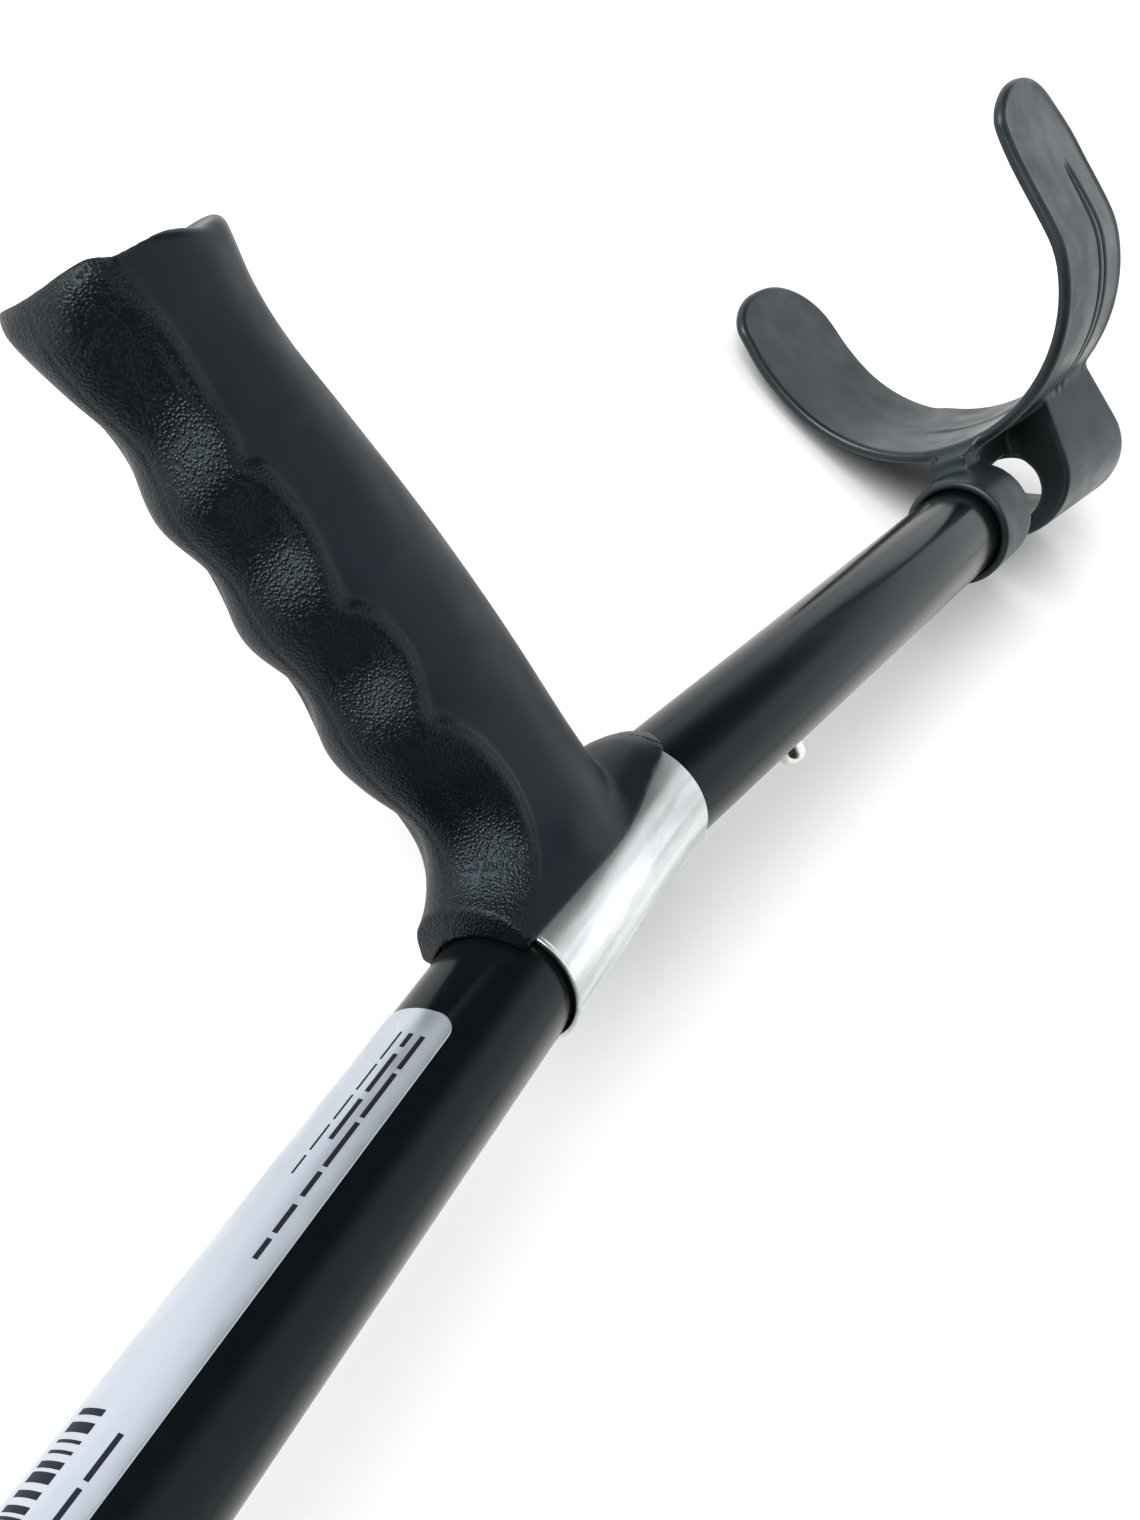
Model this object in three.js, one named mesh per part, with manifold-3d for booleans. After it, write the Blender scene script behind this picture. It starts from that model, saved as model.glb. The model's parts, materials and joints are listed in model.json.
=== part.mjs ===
// Forearm crutch, lying at rest on a level surface. Millimetres, +Z up.
// The pieces are drawn in the crutch's own frame, the design frame: Z runs up the main tube towards
// the cuff, X points the way the handle grip does, Y points sideways, and the origin is the point
// where the axes of the main tube and the forearm tube meet.

import * as THREE from "three";
import { mergeVertices } from "three/addons/utils/BufferGeometryUtils.js";
import Module from "manifold-3d";

const wasm = await Module();
wasm.setup();

// Driving dimensions, mm and degrees
const TUBE_R = 11; // main and forearm tube, outside
const WALL = 1.2; // all three tubes
const RUN_GAP = 0.3; // between tubes that slide, and between fitted pieces
const BEND_DEG = 9.86; // forearm tube leans back from the main tube by this
const MAIN_BOTTOM = -450;
const MAIN_TOP = -1;
const FOREARM_START = 2.5; // along the forearm axis
const FOREARM_END = 178;
const CONNECTOR_REACH = 75; // each way from the bend
const LEG_TOP = -257;
const LEG_BOTTOM = -814;
const TIP_FLOOR = -830; // tread of the rubber tip
const HOLE_PITCH = 25; // leg height holes
const HOLES_EACH_WAY = 3;
const LEG_BUTTON_Z = -275;
const FOREARM_PITCH = 20; // cuff height holes
const FOREARM_BUTTON_W = 55;
const BUTTON_R = 2.9;
const BUTTON_STANDS = 2.4; // dome above the outer tube
const SLEEVE_BOTTOM = -46.5;
const SLEEVE_TOP = 3.4;
const SLEEVE_R = 12;
const SLEEVE_TOP_R = 12.65;
const SHEET = 0.6;
const GRIP_FOOT_Z = -26; // where the grip's axis leaves the main tube's axis
const GRIP_DROP_DEG = 6; // the grip slopes towards the tip by this
const GRIP_LENGTH = 118;
const GRIP_RIM_R = 2.2;
const LABEL_FROM_Z = -66;
const LABEL_LENGTH = 100;
const LABEL_HALF_DEG = 45.5;
const COLLAR_FROM = 164; // the cuff, along the forearm axis
const COLLAR_TO = 182.5;
const COLLAR_R = 13.2;
const CUFF_SCREW_W = 173;
const BAND_FROM = 181.5;
const BAND_TO = 228;
const BAND_R = 42.4; // outside of the round part of the band
const BAND_BACK = 15.6; // its back face, from the tube's axis
const BAND_T = 3;
const NEAR_REACH = 93.5; // how far forward each arm ends
const FAR_REACH = 73;
const HOUSING_FROM = 204;
const HOUSING_WALL = 3.2;
const LIE_ROLL_DEG = 68.2; // how far the crutch has rolled over on to one arm of the cuff
const LIE_PITCH_DEG = 0.92;

const ROUND = 32; // facets round a tube
const INNER_R = TUBE_R - WALL - RUN_GAP;
const BORE_R = INNER_R - WALL;
const DEG = Math.PI / 180;

const looks = {
  black_tube: { color: 0x0c0d0f, roughness: 0.22, metalness: 0.2 },
  grip: { color: 0x16181b, roughness: 0.55, metalness: 0 },
  cuff: { color: 0x1b1e20, roughness: 0.4, metalness: 0 },
  chrome: { color: 0xc9cccd, roughness: 0.2, metalness: 1 },
  aluminium: { color: 0xaeb1b3, roughness: 0.4, metalness: 1 },
  steel: { color: 0x9a9c9e, roughness: 0.35, metalness: 1 },
  rubber: { color: 0x222222, roughness: 0.85, metalness: 0 },
  bush: { color: 0x1a1a1b, roughness: 0.5, metalness: 0 },
  label: { color: 0xc4cbd8, roughness: 0.3, metalness: 0.4 },
};

// ---- geometry helpers -------------------------------------------------------------------------

// A closed geometry as a manifold solid, with its faces turned outwards
function solid(geometry) {
  const bare = new THREE.BufferGeometry();
  const source = geometry.index ? geometry.toNonIndexed() : geometry;
  bare.setAttribute("position", source.getAttribute("position"));
  const merged = mergeVertices(bare, 1e-4);
  const triVerts = new Uint32Array(merged.index.array);
  const vertProperties = merged.attributes.position.array;
  const made = new wasm.Manifold(new wasm.Mesh({ numProp: 3, vertProperties, triVerts }));
  if (made.volume() >= 0) return made;
  for (let i = 0; i < triVerts.length; i += 3) {
    [triVerts[i + 1], triVerts[i + 2]] = [triVerts[i + 2], triVerts[i + 1]];
  }
  return new wasm.Manifold(new wasm.Mesh({ numProp: 3, vertProperties, triVerts }));
}

// A manifold solid back as a three.js geometry
function toGeometry(made) {
  const mesh = made.getMesh();
  const geometry = new THREE.BufferGeometry();
  geometry.setAttribute("position", new THREE.BufferAttribute(mesh.vertProperties, 3));
  geometry.setIndex(new THREE.BufferAttribute(mesh.triVerts, 1));
  return geometry;
}

// Solid of revolution about Z: points are [radius, z]; a ring's profile is closed on itself
function lathe(points, segments = ROUND) {
  const closed = points[0][0] > 0 || points[points.length - 1][0] > 0;
  const outline = points.map(([r, z]) => new THREE.Vector2(r, z));
  if (closed) outline.push(outline[0].clone());
  return solid(new THREE.LatheGeometry(outline, segments).rotateX(Math.PI / 2));
}

const ring = (inner, outer, z0, z1, segments = ROUND) =>
  lathe([[inner, z0], [outer, z0], [outer, z1], [inner, z1]], segments);

const rod = (r, z0, z1, segments = ROUND) =>
  lathe([[0, z0], [r, z0], [r, z1], [0, z1]], segments);

const box = (dx, dy, dz, x = 0, y = 0, z = 0) =>
  solid(new THREE.BoxGeometry(dx, dy, dz).translate(x, y, z));

// Moves a solid by a three.js matrix
const moved = (made, matrix) => made.transform(matrix.elements);

const shifted = (made, x, z) => moved(made, new THREE.Matrix4().makeTranslation(x, 0, z));

// Closed skin through rings of equal length; each end is closed by a fan to its middle
function loft(rings) {
  const n = rings[0].length;
  const points = rings.flat();
  const index = [];
  for (let k = 0; k < rings.length - 1; k++) {
    for (let i = 0; i < n; i++) {
      const a = k * n + i;
      const b = k * n + ((i + 1) % n);
      index.push(a, b, a + n, b, b + n, a + n);
    }
  }
  const cap = (base, flip) => {
    const middle = new THREE.Vector3();
    for (let i = 0; i < n; i++) middle.addScaledVector(points[base + i], 1 / n);
    points.push(middle);
    for (let i = 0; i < n; i++) {
      const a = base + i;
      const b = base + ((i + 1) % n);
      index.push(...(flip ? [a, points.length - 1, b] : [a, b, points.length - 1]));
    }
  };
  cap(0, true);
  cap((rings.length - 1) * n, false);
  const geometry = new THREE.BufferGeometry().setFromPoints(points);
  geometry.setIndex(index);
  return solid(geometry);
}

// Thin closed sheet between two grids of points with the same number of columns
function slab(front, back, columns) {
  const points = [...front, ...back];
  const rows = front.length / columns;
  const index = [];
  const quad = (a, b, c, d) => index.push(a, b, c, a, c, d);
  const at = (k, i) => k * columns + i;
  for (let k = 0; k < rows - 1; k++) {
    for (let i = 0; i < columns - 1; i++) {
      const corners = [at(k, i), at(k, i + 1), at(k + 1, i + 1), at(k + 1, i)];
      quad(...corners);
      quad(...corners.map((c) => c + front.length).reverse());
    }
  }
  const edge = (a, b) => quad(b, a, a + front.length, b + front.length);
  for (let i = 0; i < columns - 1; i++) {
    edge(at(0, i), at(0, i + 1));
    edge(at(rows - 1, i + 1), at(rows - 1, i));
  }
  for (let k = 0; k < rows - 1; k++) {
    edge(at(k + 1, 0), at(k, 0));
    edge(at(k, columns - 1), at(k + 1, columns - 1));
  }
  const geometry = new THREE.BufferGeometry().setFromPoints(points);
  geometry.setIndex(index);
  return solid(geometry);
}

// Smooth value through [position, value] pairs
function through(pairs) {
  const curve = new THREE.CatmullRomCurve3(
    pairs.map(([x, y]) => new THREE.Vector3(x, y, 0)), false, "centripetal");
  const samples = curve.getPoints(pairs.length * 12);
  return (x) => {
    if (x <= samples[0].x) return samples[0].y;
    for (let i = 1; i < samples.length; i++) {
      const [a, b] = [samples[i - 1], samples[i]];
      if (x <= b.x) return THREE.MathUtils.lerp(a.y, b.y, (x - a.x) / (b.x - a.x || 1));
    }
    return samples[samples.length - 1].y;
  };
}

// ---- places in the design frame ---------------------------------------------------------------

const forearmPlace = new THREE.Matrix4().makeRotationY(-BEND_DEG * DEG);
const gripPlace = new THREE.Matrix4()
  .makeTranslation(0, 0, GRIP_FOOT_Z)
  .multiply(new THREE.Matrix4().makeRotationY(GRIP_DROP_DEG * DEG));
const alongX = new THREE.Matrix4().makeRotationY(Math.PI / 2); // turns a Z solid on to +X
const alongBack = new THREE.Matrix4().makeRotationY(-Math.PI / 2); // turns a Z solid on to -X
const alongFar = new THREE.Matrix4().makeRotationX(Math.PI / 2); // turns a Z solid on to -Y

const design = new THREE.Group();
const forearm = new THREE.Group();
forearm.applyMatrix4(forearmPlace);
const gripGroup = new THREE.Group();
gripGroup.applyMatrix4(gripPlace);
design.add(forearm, gripGroup);

function piece(parent, name, made, look) {
  const material = new THREE.MeshStandardMaterial(looks[look]);
  const mesh = new THREE.Mesh(toGeometry(made), material);
  mesh.name = name;
  parent.add(mesh);
}

// A hole cutter of radius r through the tube wall on the back, at z along the tube
const backHole = (r, z) => shifted(moved(rod(r, 4, 20, 24), alongBack), 0, z);

const farHole = (r, z) => shifted(moved(rod(r, 4, 20, 24), alongFar), 0, z);

const boltHole = (r) => moved(moved(rod(r, 4, 30, 24), alongX), gripPlace);

// ---- tubes ------------------------------------------------------------------------------------

function mainTube() {
  let tube = ring(TUBE_R - WALL, TUBE_R, MAIN_BOTTOM, MAIN_TOP);
  for (let k = -HOLES_EACH_WAY; k <= HOLES_EACH_WAY; k++) {
    tube = tube.subtract(backHole(BUTTON_R + RUN_GAP, LEG_BUTTON_Z + k * HOLE_PITCH));
  }
  return tube.subtract(boltHole(3 + RUN_GAP));
}

function forearmTube() {
  let tube = ring(TUBE_R - WALL, TUBE_R, FOREARM_START, FOREARM_END);
  for (let k = 0; k <= 2; k++) {
    tube = tube.subtract(backHole(BUTTON_R + RUN_GAP, FOREARM_BUTTON_W - k * FOREARM_PITCH));
  }
  return tube.subtract(farHole(1.5 + RUN_GAP, CUFF_SCREW_W));
}

// The bent tube that joins the two: it is fixed in the main tube and the forearm tube slides on it
function connectorTube() {
  const lower = (r) => rod(r, -CONNECTOR_REACH, 0);
  const upper = (r) => moved(rod(r, 0, CONNECTOR_REACH), forearmPlace);
  const elbow = (r) => solid(new THREE.SphereGeometry(r, ROUND, ROUND / 2).rotateX(Math.PI / 2));
  const whole = (r) => lower(r).add(upper(r)).add(elbow(r));
  const hollow = rod(BORE_R, -CONNECTOR_REACH - 1, 0)
    .add(moved(rod(BORE_R, 0, CONNECTOR_REACH + 1), forearmPlace))
    .add(elbow(BORE_R));
  return whole(INNER_R)
    .subtract(hollow)
    .subtract(boltHole(3 + RUN_GAP))
    .subtract(moved(backHole(BUTTON_R + RUN_GAP, FOREARM_BUTTON_W), forearmPlace));
}

function legTube() {
  return ring(BORE_R, INNER_R, LEG_BOTTOM, LEG_TOP)
    .subtract(backHole(BUTTON_R + RUN_GAP, LEG_BUTTON_Z));
}

// ---- snap buttons and their springs -----------------------------------------------------------

const BUTTON_FLANGE = BORE_R - 0.9; // distance of the flange's outer face from the tube's axis

function button(z) {
  const top = TUBE_R + BUTTON_STANDS;
  const dome = lathe([
    [0, BUTTON_FLANGE - 0.7], [3.4, BUTTON_FLANGE - 0.7], [3.4, BUTTON_FLANGE],
    [BUTTON_R, BUTTON_FLANGE],
    [BUTTON_R, top - 1.5], [2.5, top - 0.7], [1.5, top - 0.2], [0, top],
  ], 24);
  return shifted(moved(dome, alongBack), 0, z);
}

// A leaf that carries the button, a round turn below it, and a leaf on the opposite wall
function buttonSpring(z) {
  const leafX = -(BUTTON_FLANGE - 1.25);
  const wallX = BORE_R - 1.6;
  const path = new THREE.CatmullRomCurve3([
    [leafX, 7], [leafX, 0], [leafX + 0.3, -10], [leafX + 2.6, -19],
    [0.4, -22], [3.6, -19], [5.2, -10], [wallX, 4],
  ].map(([x, dz]) => new THREE.Vector3(x, 0, z + dz)), false, "centripetal");
  const strip = new THREE.Shape([
    new THREE.Vector2(-2.6, -0.25), new THREE.Vector2(2.6, -0.25),
    new THREE.Vector2(2.6, 0.25), new THREE.Vector2(-2.6, 0.25),
  ]);
  return solid(new THREE.ExtrudeGeometry(strip, { steps: 28, extrudePath: path }));
}

// ---- handle -----------------------------------------------------------------------------------

function sleeve() {
  const flareFrom = -12;
  const profile = [
    [SLEEVE_R - SHEET, SLEEVE_BOTTOM], [SLEEVE_R, SLEEVE_BOTTOM], [SLEEVE_R, flareFrom],
    [SLEEVE_TOP_R, SLEEVE_TOP], [SLEEVE_TOP_R - SHEET, SLEEVE_TOP],
    [SLEEVE_R - SHEET, flareFrom],
  ];
  return lathe(profile, 48).subtract(boltHole(3 + RUN_GAP));
}

// Half-depth of the grip on the palm side and the finger side, and half its thickness, by distance
// along its axis. The finger side carries four finger grooves.
const palmSide = through([
  [6, 19], [20, 18.6], [40, 19.2], [62, 19.2], [85, 17.8], [98, 16.8], [106, 17.6], [113, 19.6],
  [118.5, 20.2]]);
const fingerSide = through([
  [6, 20.5], [11, 19], [18, 16.4], [29, 14.4], [38, 16.4], [46, 17.4], [57, 15.6], [67, 17.2],
  [77, 16], [87, 17.6], [97, 14.6], [108, 16.8], [118.5, 18.6]]);
const halfThick = through([
  [6, 12.6], [22, 12.4], [45, 13], [70, 12.6], [95, 11.8], [106, 12.2], [118.5, 13.6]]);

// The end of the grip swells outwards on the finger side, by distance from the grip's axis
const endSwell = through([
  [-20, 1], [-16, 2.6], [-11, 2.6], [-5, 1.4], [2, 0], [10, -0.8], [19, -1.4]]);

// One section of the grip; inset pulls it in to round the rim of its end
function gripRing(x, inset) {
  const count = 36;
  const points = [];
  for (let i = 0; i < count; i++) {
    const t = (i / count) * 2 * Math.PI;
    const deep = (Math.cos(t) > 0 ? palmSide(x) : fingerSide(x)) - inset;
    const z = deep * Math.cos(t);
    const swell = endSwell(z) * THREE.MathUtils.smoothstep(x, 96, GRIP_LENGTH);
    points.push(new THREE.Vector3(x + swell, (halfThick(x) - inset) * Math.sin(t), z));
  }
  return points;
}

// The saddle moulded with the grip hugs the front of the sleeve. Its half angle narrows at both
// ends and its lower end stands away from the tube.
const saddleHalfDeg = through([[-50, 57], [-46, 59], [-16, 66], [-4, 58], [3, 52], [8, 30]]);
const saddleOuter = through([
  [-50, 15.5], [-46, 15.3], [-40, 15], [-20, 14.6], [0, 14.4], [4, 13.6], [8, 11.8]]);

function saddle() {
  const rings = [];
  const across = 20;
  for (let k = 0; k <= 22; k++) {
    const z = THREE.MathUtils.lerp(-48.8, 8, k / 22);
    const half = saddleHalfDeg(z) * DEG;
    const outer = saddleOuter(z);
    const points = [];
    for (let i = 0; i <= across; i++) {
      const a = THREE.MathUtils.lerp(-half, half, i / across);
      const edge = Math.pow(Math.abs(i / across - 0.5) * 2, 6);
      const r = THREE.MathUtils.lerp(outer, SLEEVE_TOP_R + 0.5, edge * 0.8);
      points.push(new THREE.Vector3(r * Math.cos(a), r * Math.sin(a), z));
    }
    points.push(new THREE.Vector3(5, 7 * Math.sin(half), z));
    points.push(new THREE.Vector3(5, -7 * Math.sin(half), z));
    rings.push(points);
  }
  return loft(rings);
}

function grip() {
  const rings = [];
  const roundFrom = GRIP_LENGTH - GRIP_RIM_R;
  for (let k = 0; k <= 42; k++) rings.push(gripRing(THREE.MathUtils.lerp(6, roundFrom, k / 42), 0));
  for (let k = 1; k <= 4; k++) {
    const a = (k / 4) * (Math.PI / 2);
    const inset = GRIP_RIM_R * (1 - Math.cos(a));
    rings.push(gripRing(roundFrom + GRIP_RIM_R * Math.sin(a), inset));
  }
  const seat = lathe([
    [0, -70], [14.4, -70], [14, -49], [TUBE_R + 2, -47.6], [SLEEVE_R + RUN_GAP, -46.9],
    [SLEEVE_R + RUN_GAP, -12], [SLEEVE_TOP_R + RUN_GAP, SLEEVE_TOP + RUN_GAP],
    [SLEEVE_TOP_R - 1.2, SLEEVE_TOP + 1.2], [SLEEVE_TOP_R - 1.2, 5.5], [0, 5.5],
  ], 48);
  const tubeSeat = moved(rod(TUBE_R + RUN_GAP, -4, 40, 48), forearmPlace);
  const screwHole = moved(rod(3 + RUN_GAP, 0, GRIP_LENGTH + 1, 24), alongX);
  const headHole = moved(rod(8, 101, GRIP_LENGTH + 1, 24), alongX);
  const dish = moved(lathe([
    [0, GRIP_LENGTH + 1], [0, GRIP_LENGTH - 4], [7, GRIP_LENGTH - 3.4], [12.5, GRIP_LENGTH + 1],
  ], 32), alongX);
  const handle = moved(
    loft(rings).subtract(screwHole).subtract(headHole).subtract(dish), gripPlace);
  const cutHole = moved(screwHole, gripPlace);
  const whole = handle.add(saddle().subtract(cutHole)).subtract(seat).subtract(tubeSeat);
  return moved(whole, gripPlace.clone().invert());
}

const gripBolt = () => moved(lathe([
  [0, 0.5], [2.6, 0.5], [3, 1], [3, 104.1], [5.2, 104.1], [5.2, 108.4], [4.8, 109],
  [2.6, 109], [2.6, 106], [0, 105.6],
], 24), alongX);

const gripWasher = () => moved(ring(3.3, 7, 101.3, 102.8, 24), alongX);

const gripCap = () => moved(lathe([
  [0, 111], [7.2, 111], [7.7, 111.5], [7.7, 113.6], [6.8, 114.4], [0, 114.7],
], 24), alongX);

// A block whose outer face follows the bore of the connector tube; the bolt is screwed into it
function saddleNut() {
  const bore = moved(rod(3 + RUN_GAP, 0, 20, 24), alongX);
  const untilted = new THREE.Matrix4().makeRotationY(-GRIP_DROP_DEG * DEG);
  const limit = moved(rod(BORE_R - RUN_GAP, -20, 20), untilted);
  return box(5.6, 10, 14, 5.2, 0, 0).subtract(bore).intersect(limit);
}

// ---- foil label on the front of the main tube ---------------------------------------------------

function label() {
  const corner = 3.2;
  const [across, rows] = [14, 16];
  const sheet = (r) => {
    const grid = [];
    for (let k = 0; k <= rows; k++) {
      const down = LABEL_LENGTH * (1 - Math.cos((k / rows) * Math.PI)) / 2;
      const near = Math.min(down, LABEL_LENGTH - down, corner);
      const back = corner - Math.sqrt(corner ** 2 - (corner - near) ** 2);
      const reach = LABEL_HALF_DEG * DEG - back / TUBE_R;
      for (let i = 0; i <= across; i++) {
        const a = THREE.MathUtils.lerp(-reach, reach, i / across);
        grid.push(new THREE.Vector3(r * Math.cos(a), r * Math.sin(a), LABEL_FROM_Z - down));
      }
    }
    return grid;
  };
  return slab(sheet(TUBE_R + 0.2), sheet(TUBE_R + 0.07), across + 1);
}

// ---- forearm cuff, in the forearm frame ---------------------------------------------------------

// Height of the two edges of an arm at a distance short of its end: the end is round
const TIP_MIDDLE = 200;
const roundness = (short, over) => Math.sqrt(1 - (1 - Math.min(short / over, 1)) ** 2);
const lowEdge = (short) => TIP_MIDDLE - (TIP_MIDDLE - BAND_FROM) * roundness(short, 12);
const highEdge = (short) =>
  TIP_MIDDLE + (BAND_TO - TIP_MIDDLE) * Math.pow(roundness(short, 34), 1.1);

const centreU = BAND_BACK + BAND_R;
const bandMidR = BAND_R - BAND_T / 2;
const nearArmY = through([
  [centreU, bandMidR], [67, 39.7], [78, 37.6], [86, 37.4], [NEAR_REACH, 38.8]]);
const farArmY = through([[centreU, bandMidR], [64, 42.4], [FAR_REACH, 44.2]]);

// Stations along the middle of the band, from the far arm's end to the near arm's end
function bandStations() {
  const arm = (side, reach, y) => {
    const steps = Math.round((reach - centreU) / 1.5);
    return Array.from({ length: steps }, (_, i) => {
      const k = (i + 1) / steps;
      const u = THREE.MathUtils.lerp(centreU, reach - 0.1, 1 - (1 - k) ** 2);
      return { u, y: side * y(u), short: reach - u };
    });
  };
  const bend = [];
  for (let a = -90; a <= 90; a += 6) {
    const u = centreU - bandMidR * Math.cos(a * DEG);
    bend.push({ u, y: bandMidR * Math.sin(a * DEG), short: (a < 0 ? FAR_REACH : NEAR_REACH) - u });
  }
  const far = arm(-1, FAR_REACH, farArmY).reverse();
  return [...far, ...bend, ...arm(1, NEAR_REACH, nearArmY)];
}

function band() {
  const line = bandStations();
  const rings = line.map((here, i) => {
    const before = line[Math.max(i - 1, 0)];
    const after = line[Math.min(i + 1, line.length - 1)];
    const along = new THREE.Vector2(after.u - before.u, after.y - before.y).normalize();
    const out = [along.y, -along.x];
    const [low, high] = [lowEdge(here.short), highEdge(here.short)];
    const chamfer = Math.min(0.8, (high - low) / 3);
    const half = BAND_T / 2;
    const section = [
      [-half, low + chamfer], [-half + chamfer, low], [half - chamfer, low],
      [half, low + chamfer], [half, high - chamfer], [half - chamfer, high],
      [-half + chamfer, high], [-half, high - chamfer],
    ];
    return section.map(([n, w]) =>
      new THREE.Vector3(here.u + n * out[0], here.y + n * out[1], w));
  });
  return loft(rings);
}

// The hollow housing behind the band: open at the top, with a round hole in its floor. It widens
// from its floor to its rim, and its rim rises towards the back.
const housingTop = (u) => BAND_TO + (23 - u) * 0.5;

function housingSkin(inset, floorW, over) {
  const outline = (f) => {
    const half = THREE.MathUtils.lerp(17.5, 22.4, f) - inset;
    const back = THREE.MathUtils.lerp(-13.3, -15.6, f) + inset;
    const turn = THREE.MathUtils.lerp(3, 5, f);
    const front = inset ? BAND_BACK - HOUSING_WALL : THREE.MathUtils.lerp(20.2, 23, f);
    const points = [[front, half]];
    for (let a = 90; a >= -90; a -= 7.5) {
      points.push([turn - (turn - back) * Math.cos(a * DEG), half * Math.sin(a * DEG)]);
    }
    points.push([front, -half]);
    return points;
  };
  const rings = [];
  for (let k = 0; k <= 4; k++) {
    rings.push(outline(k / 4).map(([u, y]) =>
      new THREE.Vector3(u, y, THREE.MathUtils.lerp(floorW, housingTop(u) + over, k / 4))));
  }
  return loft(rings);
}

function cuff() {
  const housing = housingSkin(0, HOUSING_FROM, 0)
    .subtract(housingSkin(HOUSING_WALL, HOUSING_FROM + HOUSING_WALL, 2))
    .subtract(rod(8.9, HOUSING_FROM - 1, HOUSING_FROM + HOUSING_WALL + 1, 40));
  const collar = rod(COLLAR_R, COLLAR_FROM, COLLAR_TO, 40);
  const web = box(7, 9, 32, 13.2, 0, 190);
  const insideBand = shifted(rod(BAND_R - BAND_T, HOUSING_FROM - 1, 260, 64), centreU, 0);
  const tubeRoom = rod(TUBE_R + RUN_GAP, COLLAR_FROM - 1, FOREARM_END + RUN_GAP, 40);
  const lipRoom = rod(9.8, COLLAR_FROM, HOUSING_FROM - 0.01, 40);
  return band().add(housing.subtract(insideBand)).add(collar).add(web)
    .subtract(tubeRoom)
    .subtract(lipRoom)
    .subtract(farHole(1.5 + RUN_GAP, CUFF_SCREW_W));
}

function cuffScrew() {
  const screw = lathe([
    [0, 8.9], [1.2, 8.9], [1.5, 9.6], [1.5, COLLAR_R + 0.3], [2.9, COLLAR_R + 0.3],
    [2.9, COLLAR_R + 1], [1.8, COLLAR_R + 1.9], [0, COLLAR_R + 2.1],
  ], 20);
  return shifted(moved(screw, alongFar), 0, CUFF_SCREW_W);
}

// ---- lower end ----------------------------------------------------------------------------------

const guideBush = () => lathe([
  [INNER_R + 0.25, MAIN_BOTTOM - 6], [12.6, MAIN_BOTTOM - 6], [13.2, MAIN_BOTTOM - 5],
  [13.2, MAIN_BOTTOM + 18], [12.3, MAIN_BOTTOM + 22], [TUBE_R + RUN_GAP, MAIN_BOTTOM + 22],
  [TUBE_R + RUN_GAP, MAIN_BOTTOM - RUN_GAP], [INNER_R + 0.25, MAIN_BOTTOM - RUN_GAP],
]);

const legTopBush = () => lathe([
  [6.2, LEG_TOP - 11], [BORE_R - RUN_GAP, LEG_TOP - 11], [BORE_R - RUN_GAP, LEG_TOP + 0.3],
  [INNER_R, LEG_TOP + 0.3], [INNER_R, LEG_TOP + 2.8], [6.2, LEG_TOP + 2.8],
]);

// Ferrule with a flared foot and two ring grooves in its tread
function rubberTip() {
  const seat = LEG_BOTTOM - 2.3;
  const tread = (r) => [
    [r, TIP_FLOOR], [r + 0.6, TIP_FLOOR + 1.5], [r + 2.4, TIP_FLOOR + 1.5], [r + 3, TIP_FLOOR]];
  return lathe([
    [0, TIP_FLOOR], ...tread(5), ...tread(11), [17.5, TIP_FLOOR], [18.5, TIP_FLOOR + 1],
    [18.3, TIP_FLOOR + 6], [15.4, TIP_FLOOR + 11], [13.7, TIP_FLOOR + 18],
    [13.2, TIP_FLOOR + 40], [14, TIP_FLOOR + 41], [14, TIP_FLOOR + 45], [13.4, TIP_FLOOR + 46],
    [INNER_R + RUN_GAP, TIP_FLOOR + 46], [INNER_R + RUN_GAP, seat], [0, seat],
  ], 48);
}

const tipWasher = () => rod(INNER_R - 0.3, LEG_BOTTOM - 2, LEG_BOTTOM - 0.3);

// ---- assembly -----------------------------------------------------------------------------------

piece(design, "main_tube", mainTube(), "black_tube");
piece(design, "connector_tube", connectorTube(), "aluminium");
piece(design, "handle_sleeve", sleeve(), "chrome");
piece(design, "label", label(), "label");
piece(design, "guide_bush", guideBush(), "bush");
piece(design, "leg_tube", legTube(), "aluminium");
piece(design, "leg_top_bush", legTopBush(), "bush");
piece(design, "leg_button", button(LEG_BUTTON_Z), "steel");
piece(design, "leg_spring", buttonSpring(LEG_BUTTON_Z), "steel");
piece(design, "rubber_tip", rubberTip(), "rubber");
piece(design, "tip_washer", tipWasher(), "steel");
piece(gripGroup, "grip", grip(), "grip");
piece(gripGroup, "grip_bolt", gripBolt(), "steel");
piece(gripGroup, "grip_washer", gripWasher(), "steel");
piece(gripGroup, "grip_cap", gripCap(), "grip");
piece(gripGroup, "saddle_nut", saddleNut(), "steel");
piece(forearm, "forearm_tube", forearmTube(), "black_tube");
piece(forearm, "forearm_button", button(FOREARM_BUTTON_W), "chrome");
piece(forearm, "forearm_spring", buttonSpring(FOREARM_BUTTON_W), "steel");
piece(forearm, "cuff", cuff(), "cuff");
piece(forearm, "cuff_screw", cuffScrew(), "steel");

// Lay the crutch down: the tubes run along X with the cuff towards +X, and the crutch is rolled
// over so that the tip, the housing and the far arm of the cuff touch the surface
const roll = LIE_ROLL_DEG * DEG;
const rolled = new THREE.Matrix4().makeBasis(
  new THREE.Vector3(0, Math.sin(roll), Math.cos(roll)),
  new THREE.Vector3(0, -Math.cos(roll), Math.sin(roll)),
  new THREE.Vector3(1, 0, 0),
);
design.applyMatrix4(new THREE.Matrix4().makeRotationY(LIE_PITCH_DEG * DEG).multiply(rolled));

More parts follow.
